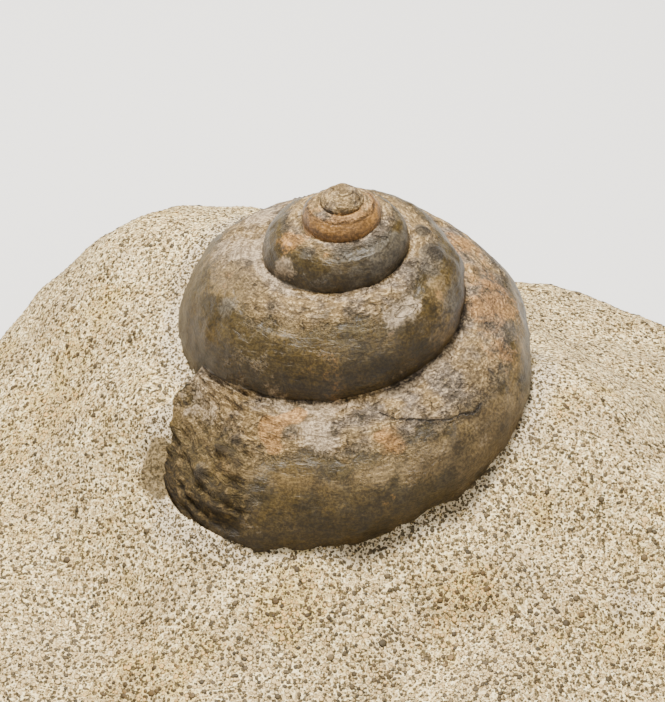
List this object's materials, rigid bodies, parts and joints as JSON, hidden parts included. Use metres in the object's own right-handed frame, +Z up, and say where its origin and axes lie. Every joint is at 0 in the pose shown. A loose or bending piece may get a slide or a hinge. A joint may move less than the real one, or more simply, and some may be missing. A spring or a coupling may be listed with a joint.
{
  "type": "fossil slit shell in limestone",
  "caption": "Coiled fossil slit shell, a low stepped cone, half sunk in a domed block of oolitic limestone with a flat sawn underside.",
  "frame": {"origin": "middle of the flat underside", "axes": "+Z up along the shell's axis, +X to the right and -Y towards the viewer with the broken end of the shell at the front left"},
  "size_m": [0.1907, 0.1577, 0.0907],
  "materials": {
    "fossil_shell": "fine matt with a dull sheen",
    "oolitic_limestone": "rough"
  },
  "bodies": {
    "root": {"slit_shell": "fossil_shell", "limestone_matrix": "oolitic_limestone"}
  },
  "joints": []
}
